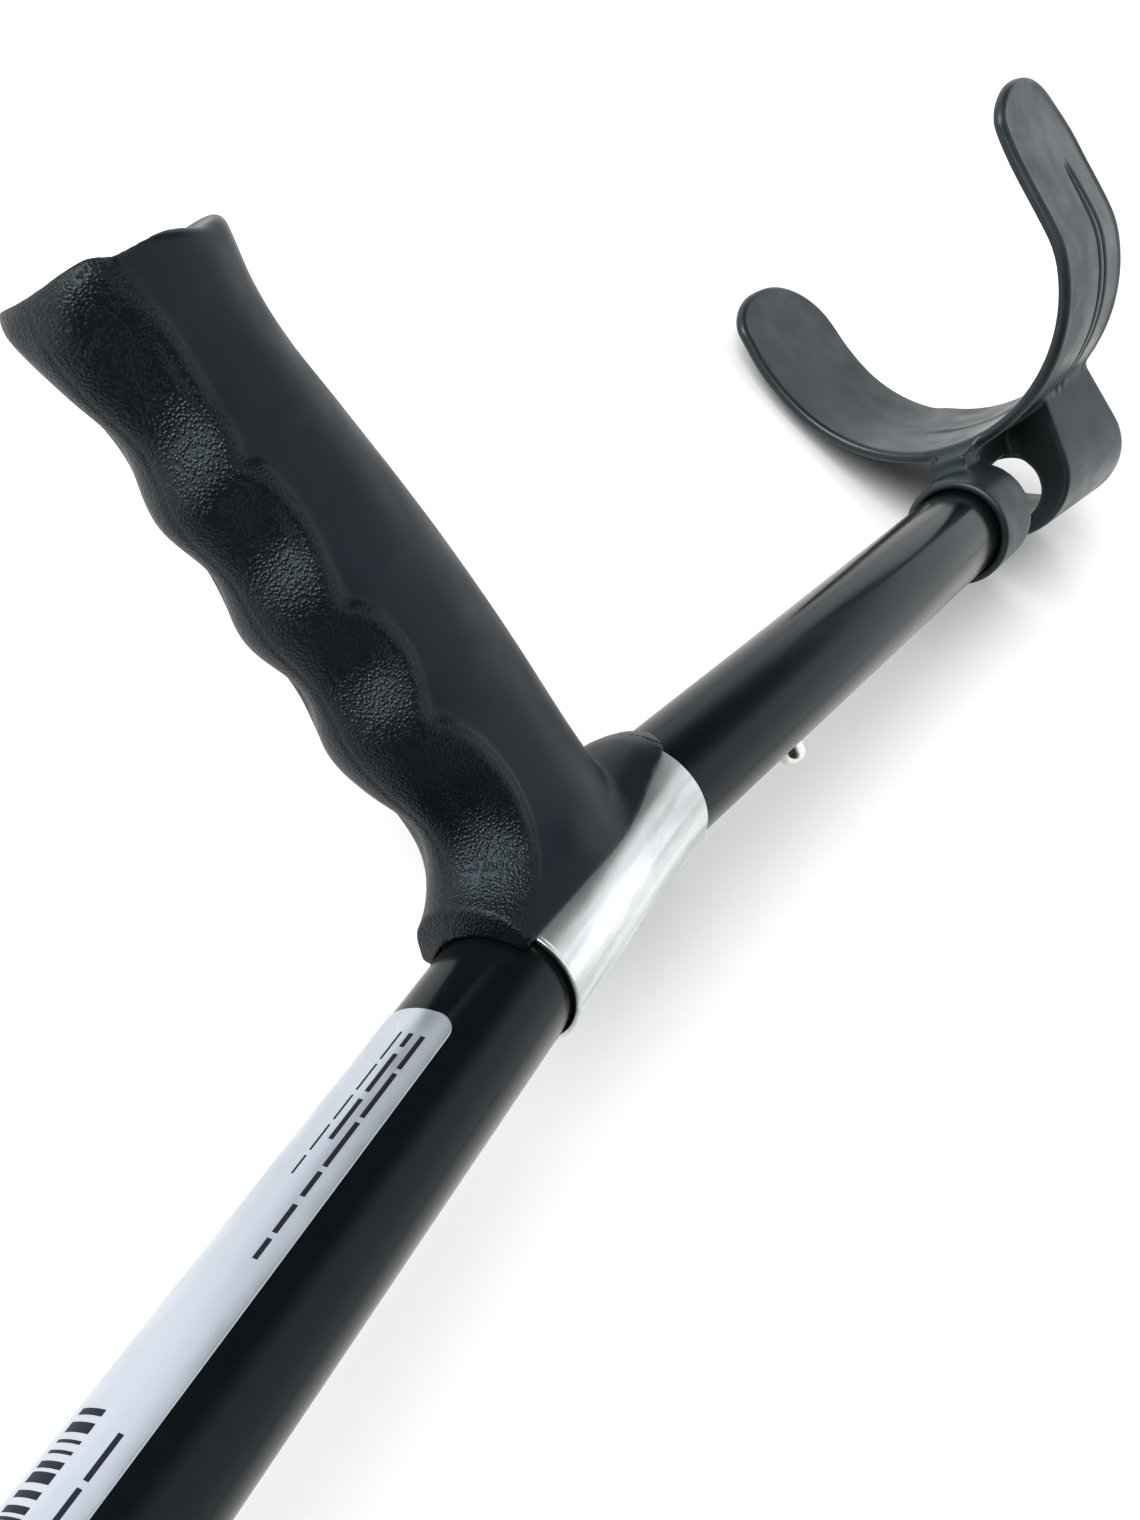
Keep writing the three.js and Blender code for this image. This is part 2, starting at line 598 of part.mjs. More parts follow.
// The origin is on the surface, under the middle of the crutch
const crutch = new THREE.Group();
crutch.add(design);
const bounds = new THREE.Box3().setFromObject(crutch, true);
design.position.x -= (bounds.min.x + bounds.max.x) / 2;
design.position.y -= (bounds.min.y + bounds.max.y) / 2;
design.position.z -= bounds.min.z;

export default crutch;
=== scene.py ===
"""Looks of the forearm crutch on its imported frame.

Lengths are in millimetres, except in Blender's own calls and matrices, which take metres.
"""

import json
import math

import bmesh
import bpy
import numpy as np
from mathutils import Matrix, Vector


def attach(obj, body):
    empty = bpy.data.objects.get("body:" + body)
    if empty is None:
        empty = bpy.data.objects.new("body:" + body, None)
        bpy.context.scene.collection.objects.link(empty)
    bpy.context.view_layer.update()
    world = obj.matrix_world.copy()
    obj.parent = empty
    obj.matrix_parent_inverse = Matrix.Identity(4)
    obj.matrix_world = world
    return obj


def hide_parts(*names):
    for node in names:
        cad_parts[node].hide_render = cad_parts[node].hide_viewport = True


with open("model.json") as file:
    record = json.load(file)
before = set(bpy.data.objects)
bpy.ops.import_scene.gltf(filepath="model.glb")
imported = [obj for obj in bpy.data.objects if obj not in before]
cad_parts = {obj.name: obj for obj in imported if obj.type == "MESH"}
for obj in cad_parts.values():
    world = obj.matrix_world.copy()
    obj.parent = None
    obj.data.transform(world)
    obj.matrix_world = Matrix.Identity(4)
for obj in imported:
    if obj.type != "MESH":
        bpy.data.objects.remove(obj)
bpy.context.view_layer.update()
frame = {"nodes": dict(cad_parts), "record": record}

# sizes shared by several pieces, as in the CAD
TUBE_R, TUBE_BORE = 11, 9.8
TIP_FLOOR = -830
LEG_BUTTON_Z, HOLE_PITCH, HOLES_EACH_WAY = -275, 25, 3
FORE_BUTTON_W, FORE_PITCH = 55, 20
HOLE_R = 3.2
CUFF_SCREW_W, CUFF_SCREW_R = 173, 1.8

# ---- frames: the design frame starts at the bend, Z up the main tube, X the way the grip goes ----

record = frame["record"]
joints = {j["name"]: j for j in record["behaviour"]["joints"]}
tip_tread = next(m for m in record["mounts"] if m["name"] == "tip_tread")
UP = Vector(joints["leg_slide"]["axis"]) * -1
FORWARD = Vector(joints["leg_button_press"]["axis"])
SIDE = UP.cross(FORWARD)
ORIGIN = Vector(tip_tread["pos_m"]) + UP * (-TIP_FLOOR / 1000)
FORE_UP = Vector(joints["forearm_slide"]["axis"])
FORE_FORWARD = Vector(joints["forearm_button_press"]["axis"])


def frame_of(x, y, z, origin):
    m = Matrix((x, y, z)).transposed().to_4x4()
    m.translation = origin
    return m


DESIGN = frame_of(FORWARD, SIDE, UP, ORIGIN)
FOREARM = frame_of(FORE_FORWARD, SIDE, FORE_UP, ORIGIN)
GRIP_FOOT_Z, GRIP_DROP = -26.0, math.radians(6)
GRIP = DESIGN @ Matrix.Translation((0, 0, GRIP_FOOT_Z / 1000)) @ Matrix.Rotation(GRIP_DROP, 4, "Y")
BEND = math.radians(9.86)
TO_DESIGN = DESIGN.to_3x3().inverted().to_euler()

# ---- numbers -------------------------------------------------------------------------------------


def through(pairs):
    """Smooth function through (x, value) pairs: a centripetal Catmull-Rom curve."""
    p = np.array(pairs, float)
    p = np.vstack([2 * p[0] - p[1], p, 2 * p[-1] - p[-2]])
    out = [p[1]]
    for a, b, c, d in zip(p, p[1:], p[2:], p[3:]):
        t0, t1, t2 = (np.linalg.norm(q - r) ** 0.5 for q, r in ((b, a), (c, b), (d, c)))
        m1 = ((b - a) / t0 - (c - a) / (t0 + t1) + (c - b) / t1) * t1
        m2 = ((c - b) / t1 - (d - b) / (t1 + t2) + (d - c) / t2) * t1
        for t in np.linspace(0, 1, 13)[1:]:
            h = (2 * t**3 - 3 * t**2 + 1, t**3 - 2 * t**2 + t, 3 * t**2 - 2 * t**3, t**3 - t**2)
            out.append(h[0] * b + h[1] * m1 + h[2] * c + h[3] * m2)
    out = np.array(out)
    return lambda x: np.interp(x, out[:, 0], out[:, 1])


def smooth(x, a, b):
    t = np.clip((x - a) / (b - a), 0, 1)
    return t * t * (3 - 2 * t)


def both(a, b, k):
    """Union of two fields with a fillet of about k."""
    h = np.clip(0.5 + 0.5 * (b - a) / k, 0, 1)
    return b + (a - b) * h - k * h * (1 - h)


def within(a, b, k):
    """Intersection of two fields with an edge rounded by about k."""
    return -both(-a, -b, k)


def bump(x, centre, width):
    return np.exp(-(((x - centre) / width) ** 2))


# ---- meshes --------------------------------------------------------------------------------------


def skin(field, low, high, step):
    """Quad mesh of the surface where field is 0, by surface nets, then moved on to that surface."""
    axes = [np.arange(a, b + step, step) for a, b in zip(low, high)]
    grid = np.meshgrid(*axes, indexing="ij")
    f = field(*grid).astype(np.float32)
    cells = np.array(f.shape) - 1
    inside = f < 0
    total = np.zeros((int(cells.prod()), 3))
    count = np.zeros(int(cells.prod()))
    quads = []
    for axis in range(3):
        u, v = [k for k in range(3) if k != axis]
        if axis == 1:
            u, v = v, u
        a = np.take(inside, range(f.shape[axis] - 1), axis)
        b = np.take(inside, range(1, f.shape[axis]), axis)
        edge = np.argwhere(a != b)
        f0 = f[tuple(edge.T)]
        shift = np.zeros(3, int)
        shift[axis] = 1
        f1 = f[tuple((edge + shift).T)]
        point = edge.astype(float)
        point[:, axis] += f0 / (f0 - f1)
        corners = []
        for du, dv in ((-1, -1), (0, -1), (0, 0), (-1, 0)):
            cell = edge.copy()
            cell[:, u] += du
            cell[:, v] += dv
            cell = np.clip(cell, 0, cells - 1)
            flat = np.ravel_multi_index(cell.T, cells)
            for k in range(3):
                total[:, k] += np.bincount(flat, point[:, k], len(total))
            count += np.bincount(flat, minlength=len(total))
            corners.append(flat)
        quad = np.array(corners).T
        flip = f0 > 0
        quad[flip] = quad[flip][:, ::-1]
        quads.append(quad)
    used = np.flatnonzero(count)
    number = np.full(len(total), -1)
    number[used] = np.arange(len(used))
    points = total[used] / count[used][:, None] * step + np.array(low)
    start = points.copy()
    for _ in range(3):
        here = field(*points.T)
        slope = np.array([
            (field(*(points + e).T) - field(*(points - e).T)) / 0.2 for e in np.eye(3) * 0.1
        ]).T
        move = here[:, None] * slope / (np.sum(slope**2, 1)[:, None] + 1e-3)
        points -= np.clip(move, -step / 2, step / 2)
        points = start + np.clip(points - start, -0.6 * step, 0.6 * step)
    return points, number[np.vstack(quads)]


def piece(name, points, faces, place, body, node, slot, material, crease=None, **marks):
    """A mesh piece given in the frame place, riding on body and standing for the CAD node."""
    mesh = bpy.data.meshes.new(name)
    place = np.array(place)
    points = np.asarray(points, float) / 1000 @ place[:3, :3].T + place[:3, 3]
    mesh.from_pydata(points.tolist(), [], [list(map(int, f)) for f in faces])
    for mark, values in marks.items():
        domain = "POINT" if len(values) == len(points) else "FACE"
        layer = mesh.attributes.new(mark, "FLOAT", domain)
        layer.data.foreach_set("value", np.asarray(values, np.float32))
    work = bmesh.new()
    work.from_mesh(mesh)
    bmesh.ops.recalc_face_normals(work, faces=work.faces)
    for face in work.faces:
        face.smooth = True
    if crease:
        for edge in work.edges:
            sharp = len(edge.link_faces) != 2 or edge.calc_face_angle(0) > math.radians(crease)
            edge.smooth = not sharp
    work.to_mesh(mesh)
    work.free()
    obj = bpy.data.objects.new(name, mesh)
    bpy.context.scene.collection.objects.link(obj)
    obj.data.materials.append(material)
    bpy.context.view_layer.update()
    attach(obj, body)
    if node:
        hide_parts(node)
    return obj


def turned(profile, segments=96, around="Z"):
    """Points and faces of a (radius, height) profile turned about an axis; a ring's closes."""
    ring = profile[0][0] > 0
    points, rows = [], []
    for r, h in profile:
        if r <= 0:
            rows.append([len(points)])
            points.append((0, 0, h))
            continue
        rows.append(list(range(len(points), len(points) + segments)))
        for i in range(segments):
            a = 2 * math.pi * i / segments
            points.append((r * math.cos(a), r * math.sin(a), h))
    faces = []
    pairs = list(zip(rows, rows[1:])) + ([(rows[-1], rows[0])] if ring else [])
    for a, b in pairs:
        for i in range(segments):
            j = (i + 1) % segments
            quad = [a[i % len(a)], a[j % len(a)], b[j % len(b)], b[i % len(b)]]
            quad = [q for k, q in enumerate(quad) if q not in quad[:k]]
            if len(quad) > 2:
                faces.append(quad)
    points = np.array(points, float)
    if around == "X":
        points = points[:, [2, 1, 0]] * [1, 1, -1]
    if around == "-X":
        points = points[:, [2, 1, 0]] * [-1, 1, 1]
    if around == "-Y":
        points = points[:, [0, 2, 1]] * [1, -1, 1]
    return points, faces


def rounded(profile, r, steps=4):
    """The closed profile with each corner rounded by r, or by less where a side is short."""
    p = np.array(profile, float)
    out = []
    for i in range(len(p)):
        a, b, c = p[i - 1], p[i], p[(i + 1) % len(p)]
        u, v = a - b, c - b
        lu, lv = np.linalg.norm(u), np.linalg.norm(v)
        cut = min(r, lu * 0.45, lv * 0.45)
        s, e = b + u / lu * cut, b + v / lv * cut
        for t in np.linspace(0, 1, steps + 1):
            out.append(tuple((1 - t) ** 2 * s + 2 * t * (1 - t) * b + t**2 * e))
    return out


def drilled(obj, place, holes):
    """Cuts round holes (radius, start, end) through obj, with start and end in the frame place."""
    for r, start, end in holes:
        start, end = place @ (Vector(start) / 1000), place @ (Vector(end) / 1000)
        work = bmesh.new()
        bmesh.ops.create_cone(
            work, cap_ends=True, segments=40, radius1=r / 1000, radius2=r / 1000,
            depth=(end - start).length)
        mesh = bpy.data.meshes.new("drill")
        work.to_mesh(mesh)
        work.free()
        cutter = bpy.data.objects.new("drill", mesh)
        bpy.context.scene.collection.objects.link(cutter)
        turn = (end - start).to_track_quat("Z", "Y").to_matrix().to_4x4()
        cutter.matrix_world = Matrix.Translation((start + end) / 2) @ turn
        cut = obj.modifiers.new("hole", "BOOLEAN")
        cut.operation, cut.solver, cut.object = "DIFFERENCE", "EXACT", cutter
        bpy.context.view_layer.update()
        shape = obj.evaluated_get(bpy.context.evaluated_depsgraph_get())
        made = bpy.data.meshes.new_from_object(shape)
        old = obj.data
        obj.modifiers.clear()
        obj.data = made
        bpy.data.meshes.remove(old)
        bpy.data.objects.remove(cutter)
        bpy.data.meshes.remove(mesh)
    work = bmesh.new()
    work.from_mesh(obj.data)
    for edge in work.edges:
        edge.smooth = len(edge.link_faces) == 2 and edge.calc_face_angle(0) < math.radians(28)
    work.to_mesh(obj.data)
    work.free()


# ---- materials -----------------------------------------------------------------------------------


class Look:
    """A material's node tree, with short ways to add nodes."""

    def __init__(self, name, color, roughness, metallic=0.0, coat=0.0, ior=1.5):
        self.material = bpy.data.materials.new(name)
        self.material.use_nodes = True
        self.tree = self.material.node_tree
        self.shader = self.tree.nodes["Principled BSDF"]
        self.set(self.shader, **{
            "Base Color": (*color, 1), "Roughness": roughness, "Metallic": metallic,
            "Coat Weight": coat, "Coat Roughness": 0.08, "IOR": ior})
        self.place = self.add("ShaderNodeTexCoord").outputs["Object"]
        turned_place = self.add("ShaderNodeMapping", {"Vector": self.place}, Rotation=TO_DESIGN)
        self.place = turned_place.outputs[0]
        self.heights = []

    def set(self, node, **values):
        for key, value in values.items():
            node.inputs[key].default_value = value

    def add(self, kind, links=None, **values):
        node = self.tree.nodes.new(kind)
        for key, value in values.items():
            if key in node.inputs:
                node.inputs[key].default_value = value
            else:
                setattr(node, key, value)
        for key, source in (links or {}).items():
            self.tree.links.new(source, node.inputs[key])
        return node

    def stretched(self, scale):
        return self.add("ShaderNodeMapping", {"Vector": self.place}, Scale=scale).outputs[0]

    def noise(self, scale, detail=3.0, stretch=None, rough=0.5):
        where = self.stretched(stretch) if stretch else self.place
        return self.add("ShaderNodeTexNoise", {"Vector": where}, Scale=scale, Detail=detail,
                        Roughness=rough).outputs["Fac"]

    def cells(self, scale, stretch=None, feature="F1"):
        where = self.stretched(stretch) if stretch else self.place
        node = self.add("ShaderNodeTexVoronoi", {"Vector": where}, feature=feature, Scale=scale)
        return node.outputs["Distance"]

    def ramp(self, source, *stops):
        node = self.add("ShaderNodeMapRange", {"Value": source}, clamp=True)
        (a, c), (b, d) = stops
        self.set(node, **{"From Min": a, "From Max": b, "To Min": c, "To Max": d})
        return node.outputs[0]

    def math(self, operation, a, b=None):
        node = self.add("ShaderNodeMath", operation=operation)
        for k, v in enumerate((a, b)):
            if v is None:
                continue
            if isinstance(v, (int, float)):
                node.inputs[k].default_value = v
            else:
                self.tree.links.new(v, node.inputs[k])
        return node.outputs[0]

    def mark(self, name):
        return self.add("ShaderNodeAttribute", attribute_name=name).outputs["Fac"]

    def roughness(self, source):
        self.tree.links.new(source, self.shader.inputs["Roughness"])

    def color(self, source, dark, light):
        node = self.add("ShaderNodeMix", {"Factor": source}, data_type="RGBA")
        node.inputs[6].default_value = (*dark, 1)
        node.inputs[7].default_value = (*light, 1)
        self.tree.links.new(node.outputs[2], self.shader.inputs["Base Color"])

    def relief(self, height, depth_mm, strength=1.0):
        """Adds a bump layer: height is 0 to 1 and depth_mm its full depth."""
        node = self.add("ShaderNodeBump", {"Height": height}, Distance=depth_mm / 1000,
                        Strength=strength)
        if self.heights:
            self.tree.links.new(self.heights[-1], node.inputs["Normal"])
        self.heights.append(node.outputs[0])
        self.tree.links.new(node.outputs[0], self.shader.inputs["Normal"])


def enamel():
    look = Look("black_enamel", (0.004, 0.005, 0.006), 0.14, ior=1.34)
    look.relief(look.noise(260, 2), 0.02, 0.6)
    look.relief(look.noise(900, 2, (1, 1, 0.04)), 0.004, 0.4)
    look.roughness(look.ramp(look.noise(90, 4, (1, 1, 0.2)), (0.3, 0.12), (0.75, 0.24)))
    look.color(look.noise(500, 3), (0.0030, 0.0042, 0.0048), (0.0055, 0.0072, 0.0080))
    return look.material


def grip_plastic():
    look = Look("grip_plastic", (0.007, 0.009, 0.012), 0.42, ior=1.42)
    grain = look.mark("grain")
    pebbles = look.ramp(look.cells(1900), (0.05, 1.0), (0.62, 0.0))
    fine = look.noise(3200, 2)
    height = look.math("ADD", pebbles, look.math("MULTIPLY", fine, 0.5))
    look.relief(look.math("MULTIPLY", height, grain), 0.11, 1.0)
    look.relief(look.noise(120, 3), 0.06, 0.5)
    look.relief(look.noise(2400, 2), 0.006, 0.5)
    smooth_part = look.ramp(look.noise(140, 5), (0.3, 0.34), (0.7, 0.47))
    grained = look.ramp(look.cells(1900), (0.0, 0.28), (0.7, 0.46))
    mix = look.add("ShaderNodeMix", {"Factor": grain, "A": smooth_part, "B": grained})
    look.roughness(mix.outputs[0])
    # the grained pad gets a darker base colour than the smooth side of the same plastic: painted
    # shade on the pads, over a random tone
    plain = look.math("SUBTRACT", 1, look.math("MULTIPLY", grain, 0.85))
    tone_and_pad_shade = look.math("MULTIPLY", look.noise(60, 5), plain)
    look.color(tone_and_pad_shade, (0.0008, 0.0016, 0.0030), (0.0052, 0.0082, 0.0122))
    return look.material


def cuff_plastic():
    look = Look("cuff_plastic", (0.022, 0.026, 0.028), 0.34)
    look.relief(look.noise(70, 3, (1, 1, 0.5)), 0.08, 0.5)
    look.relief(look.noise(1800, 3), 0.01, 0.5)
    rubbed = look.math("MULTIPLY", look.noise(110, 5), look.noise(40, 2, (0.3, 1, 1)))
    look.roughness(look.ramp(rubbed, (0.12, 0.26), (0.36, 0.44)))
    look.color(look.noise(45, 5), (0.010, 0.014, 0.015), (0.016, 0.021, 0.022))
    return look.material


def bush_plastic():
    look = Look("bush_plastic", (0.02, 0.02, 0.021), 0.5)
    look.relief(look.noise(1400, 3), 0.02, 0.6)
    look.roughness(look.ramp(look.noise(200, 4), (0.3, 0.4), (0.7, 0.6)))
    look.color(look.noise(90, 4), (0.008, 0.008, 0.009), (0.016, 0.016, 0.018))
    return look.material


def plated():
    look = Look("plated_sleeve", (0.72, 0.74, 0.74), 0.36, metallic=1.0)
    look.relief(look.noise(60, 3, (1, 1, 0.35)), 0.10, 0.5)
    look.relief(look.noise(900, 3, (1, 1, 0.03)), 0.006, 0.5)
    look.roughness(look.ramp(look.noise(120, 5, (1, 1, 0.3)), (0.3, 0.26), (0.7, 0.46)))
    patches = look.math(
        "ADD", look.noise(75, 6, (1, 1, 0.35), 0.65), look.noise(320, 3, (1, 1, 0.05)))
    shade = look.ramp(patches, (0.75, 0.0), (1.2, 1.0))
    look.color(shade, (0.40, 0.42, 0.41), (0.76, 0.775, 0.775))
    return look.material


def nickel():
    look = Look("nickel_button", (0.74, 0.70, 0.62), 0.16, metallic=1.0)
    look.relief(look.noise(1500, 3), 0.006, 0.5)
    look.roughness(look.ramp(look.noise(900, 4), (0.3, 0.10), (0.7, 0.26)))
    look.color(look.noise(700, 3), (0.66, 0.62, 0.55), (0.78, 0.75, 0.69))
    return look.material


def foil():
    look = Look("foil_label", (0.5, 0.5, 0.6), 0.3, metallic=0.75)
    look.relief(look.noise(90, 3, (1, 1, 0.5)), 0.04, 0.5)
    look.relief(look.noise(1800, 2), 0.004, 0.5)
    ink = look.mark("dashes")
    worn = look.ramp(look.noise(160, 4), (0.3, 0.26), (0.7, 0.42))
    look.roughness(look.add("ShaderNodeMix", {"Factor": ink, "A": worn}, B=0.55).outputs[0])
    look.color(look.noise(60, 4, (1, 1, 0.4)), (0.33, 0.36, 0.40), (0.50, 0.53, 0.57))
    plain = look.shader.inputs["Base Color"].links[0].from_socket
    printed = look.add("ShaderNodeMix", {"Factor": ink}, data_type="RGBA")
    look.tree.links.new(plain, printed.inputs[6])
    printed.inputs[7].default_value = (0.02, 0.02, 0.035, 1)
    look.tree.links.new(printed.outputs[2], look.shader.inputs["Base Color"])
    return look.material


def anodised():
    look = Look("anodised_tube", (0.56, 0.57, 0.58), 0.36, metallic=1.0)
    look.relief(look.noise(1500, 3, (1, 1, 0.02)), 0.006, 0.6)
    look.roughness(look.ramp(look.noise(240, 4, (1, 1, 0.08)), (0.3, 0.28), (0.7, 0.44)))
    look.color(look.noise(120, 4, (1, 1, 0.1)), (0.50, 0.51, 0.52), (0.62, 0.63, 0.64))
    return look.material


def zinc():
    look = Look("zinc_steel", (0.55, 0.55, 0.54), 0.34, metallic=1.0)
    look.relief(look.noise(1200, 3), 0.008, 0.5)
    look.roughness(look.ramp(look.noise(500, 4), (0.3, 0.26), (0.7, 0.46)))
    look.color(look.noise(300, 4), (0.46, 0.46, 0.44), (0.62, 0.62, 0.62))
    return look.material


def rubber():
    look = Look("tip_rubber", (0.018, 0.018, 0.018), 0.75)
    look.relief(look.noise(900, 4), 0.05, 0.6)
    look.relief(look.cells(1900), 0.02, 0.5)
    look.roughness(look.ramp(look.noise(160, 5), (0.3, 0.62), (0.7, 0.86)))
    look.color(look.noise(110, 6), (0.009, 0.009, 0.009), (0.022, 0.021, 0.020))
    return look.material


ENAMEL, GRIP_LOOK, CUFF_LOOK, BUSH = enamel(), grip_plastic(), cuff_plastic(), bush_plastic()
for dark in (ENAMEL, GRIP_LOOK, CUFF_LOOK):
    shader = dark.node_tree.nodes["Principled BSDF"]
    shader.inputs["Specular Tint"].default_value = (0.80, 0.93, 1, 1)
PLATED, NICKEL, FOIL = plated(), nickel(), foil()
ANODISED, ZINC, RUBBER = anodised(), zinc(), rubber()

# ---- grip ----------------------------------------------------------------------------------------

palm_side = through([
    (6, 20.8), (20, 20.4), (40, 20.8), (62, 20.4), (85, 18.4), (98, 17.0), (106, 17.6), (113, 19.6),
    (118.5, 20.2)])
finger_side = through([
    (6, 20.5), (11, 19), (18, 16.4), (29, 14.4), (38, 16.4), (46, 17.4), (57, 15.6), (67, 17.2),
    (77, 16), (87, 17.6), (97, 14.8), (108, 17.2), (118.5, 17.7)])
half_thick = through([
    (6, 12.6), (22, 12.4), (45, 13), (70, 12.6), (95, 11.8), (106, 12.2), (118.5, 13.6)])
end_swell = through([
    (-20, -1.8), (-18, -0.4), (-16, 2.8), (-13, 4.2), (-10, 3.4), (-5, 2.2), (2, -0.1), (8, -2.1),
    (14, -2.2), (19, -1.7)])
# angle from the finger side at which the grained pad ends, by distance along the grip
pad_edge = through([
    (8, 28), (12.6, 37), (17.1, 49), (22.7, 61), (28.5, 66), (35, 64), (40.7, 56), (44.6, 47),
    (46, 47), (50.3, 54), (54.8, 59), (59.5, 58), (63.6, 51), (65.6, 44.5), (67, 44.5), (69.6, 47),
    (73.1, 50.6), (77.6, 54), (82.4, 54.7), (87.2, 51), (89, 45.5), (90.2, 45.5), (93, 49),
    (97.7, 50.5), (102.8, 52.5), (107.9, 54), (112.6, 52.5), (116, 49.7), (124, 44)])
saddle_half = through([(-50, 54.5), (-46, 56.5), (-16, 63.5), (-4, 55.5), (3, 50), (8, 29)])
saddle_outer = through([
    (-50, 15.5), (-46, 15.3), (-40, 15), (-20, 14.6), (0, 14.4), (4, 13.3), (8, 11.6)])
GRIP_LENGTH = 118


def in_grip(x, y, z):
    """A design frame point in grip coordinates: along the grip, sideways, towards the palm."""
    c, s = math.cos(GRIP_DROP), math.sin(GRIP_DROP)
    z = z - GRIP_FOOT_Z
    return c * x - s * z, y, s * x + c * z


def pad_depth(x, y, z):
    """How far inside the grained pad's edge a point of the grip is; grip coordinates."""
    r = np.hypot(y, z) + 1e-6
    angle = np.degrees(np.arctan2(np.abs(y), -z))
    return (pad_edge(x) - angle) * math.pi / 180 * np.minimum(r, 16)


def grip_body(x, y, z):
    r = np.hypot(y, z) + 1e-6
    deep = np.where(z > 0, palm_side(x), finger_side(x))
    radius = 1 / np.sqrt((y / r / half_thick(x)) ** 2 + (z / r / deep) ** 2)
    inside = pad_depth(x, y, z)
    angle = np.degrees(np.arctan2(np.abs(y), -z))
    lobes = bump(x, 104, 7.5) + bump(x, 79, 6.5) + bump(x, 56, 6.5) + bump(x, 29, 8.5)
    along = smooth(x, 8, 20)
    radius = radius + along * (
        0.85 * smooth(inside, -0.9, 2.6)
        - 1.1 * bump(inside, -0.9, np.where(inside > -0.9, 1.4, 7))
        - 0.2 * bump(y, 0, 0.4) * (z < 0)
        - 2.2 * lobes * bump(angle, 31, 17) * smooth(inside, 0.5, 4))
    end = x - GRIP_LENGTH - end_swell(z) * smooth(x, 96, GRIP_LENGTH)
    return within(r - radius, end, 2.4 + 2.1 * smooth(-z, 4, 14))


def grip_field(x, y, z):
    gx, gy, gz = in_grip(x, y, z)
    handle = within(grip_body(gx, gy, gz), 5 - gx, 1.0)
    r = np.hypot(x, y)
    turn = np.arctan2(np.abs(y), x)
    half = np.radians(saddle_half(z))
    outer = saddle_outer(z)
    outer = outer - np.maximum(outer - 13.7, 0) * smooth(turn / half, 0.55, 1.0)
    saddle = within(within(r - outer, (turn - half) * np.maximum(r, 9), 0.7),
                    np.maximum(z - 8, -48.8 - z), 0.9)
    fillet = 1.8 + 8.7 * smooth(-gz, -10, 8)
    whole = both(handle, saddle, fillet)
    beyond = np.maximum((half - turn) * np.maximum(r, 9), r - 18)
    whole = within(whole, -beyond, 0.6)
    seat = np.interp(z, (-49, -47.2, -46.8, -12, 3.7, 4.6), (11.3, 11.3, 12.4, 12.3, 12.95, 11.45))
    whole = within(whole, np.where(z < 5.5, seat, 0) - r, 0.4)
    c, s = math.cos(BEND), math.sin(BEND)
    across, along = c * x + s * z, -s * x + c * z
    tube = np.maximum(np.hypot(across, y) - 11.3, -4 - along)
    whole = within(whole, -tube, 0.4)
    g = np.hypot(gy, gz)
    dish = np.interp(gx, (GRIP_LENGTH - 4, GRIP_LENGTH - 3.4, GRIP_LENGTH + 4), (0, 7, 16))
    screw = np.where(gx > 101, 8, 3.3)
    return within(within(whole, dish - g, 1.0), screw - g, 0.4)


points, faces = skin(grip_field, (-6, -17, -66), (126, 17, 12), 0.5)
depth = pad_depth(*in_grip(*points.T))
along = in_grip(*points.T)[0]
piece("grip_moulding", points, faces, DESIGN, "frame", "grip", "grip", GRIP_LOOK,
      grain=smooth(depth, -0.3, 0.8) * smooth(along, 9, 15))

cap_profile = [(0, 111), (7.2, 111), (7.7, 111.5), (7.7, 113.4), (7.5, 113.9), (7.0, 114.3),
               (5.2, 114.6), (5.0, 114.3), (4.6, 114.3), (4.4, 114.6), (0, 114.7)]
piece("grip_end_cap", *turned(cap_profile, 64, "X"), GRIP, "frame", "grip_cap", "grip", BUSH, 35)

# ---- sleeve, tubes -------------------------------------------------------------------------------

sleeve_line = [(11.4, -46.5), (12.25, -46.5), (12.25, -45.8), (12, -45.4), (12, -12), (12.25, -4),
               (12.65, 3.4), (12.05, 3.4), (11.65, -4), (11.4, -12)]
piece("sleeve_shell", *turned(rounded(sleeve_line, 0.28, 3), 128), DESIGN, "frame",
      "handle_sleeve", "chrome", PLATED)


def tube(bore, radius, low, high):
    """Points and faces of a plain tube with its end edges rounded."""
    line = [(bore, low), (radius, low), (radius, high), (bore, high)]
    return turned(rounded(line, 0.3, 3), 96)


main = piece("main_tube_shell", *tube(TUBE_BORE, TUBE_R, -450, -1), DESIGN, "frame", "main_tube",
             "black_tube", ENAMEL)
fore = piece("forearm_tube_shell", *tube(TUBE_BORE, TUBE_R, 2.5, 178), FOREARM, "forearm",
             "forearm_tube", "black_tube", ENAMEL)
leg = piece("leg_tube_shell", *tube(8.3, 9.5, -814, -257), DESIGN, "leg", "leg_tube", "aluminium",
            ANODISED)
grip_axis = Vector((math.cos(GRIP_DROP), 0, -math.sin(GRIP_DROP)))
foot = Vector((0, 0, GRIP_FOOT_Z))
leg_rows = [LEG_BUTTON_Z + HOLE_PITCH * k for k in range(-HOLES_EACH_WAY, HOLES_EACH_WAY + 1)]
fore_rows = [FORE_BUTTON_W - FORE_PITCH * k for k in (2, 1, 0)]


def back_holes(heights):
    return [(HOLE_R, (-4, 0, z), (-20, 0, z)) for z in heights]


drilled(main, DESIGN, back_holes(leg_rows)
        + [(3.3, foot + grip_axis * 4, foot + grip_axis * 30)])
drilled(fore, FOREARM, back_holes(fore_rows)
        + [(CUFF_SCREW_R, (0, -4, CUFF_SCREW_W), (0, -20, CUFF_SCREW_W))])
drilled(leg, DESIGN, back_holes([LEG_BUTTON_Z]))

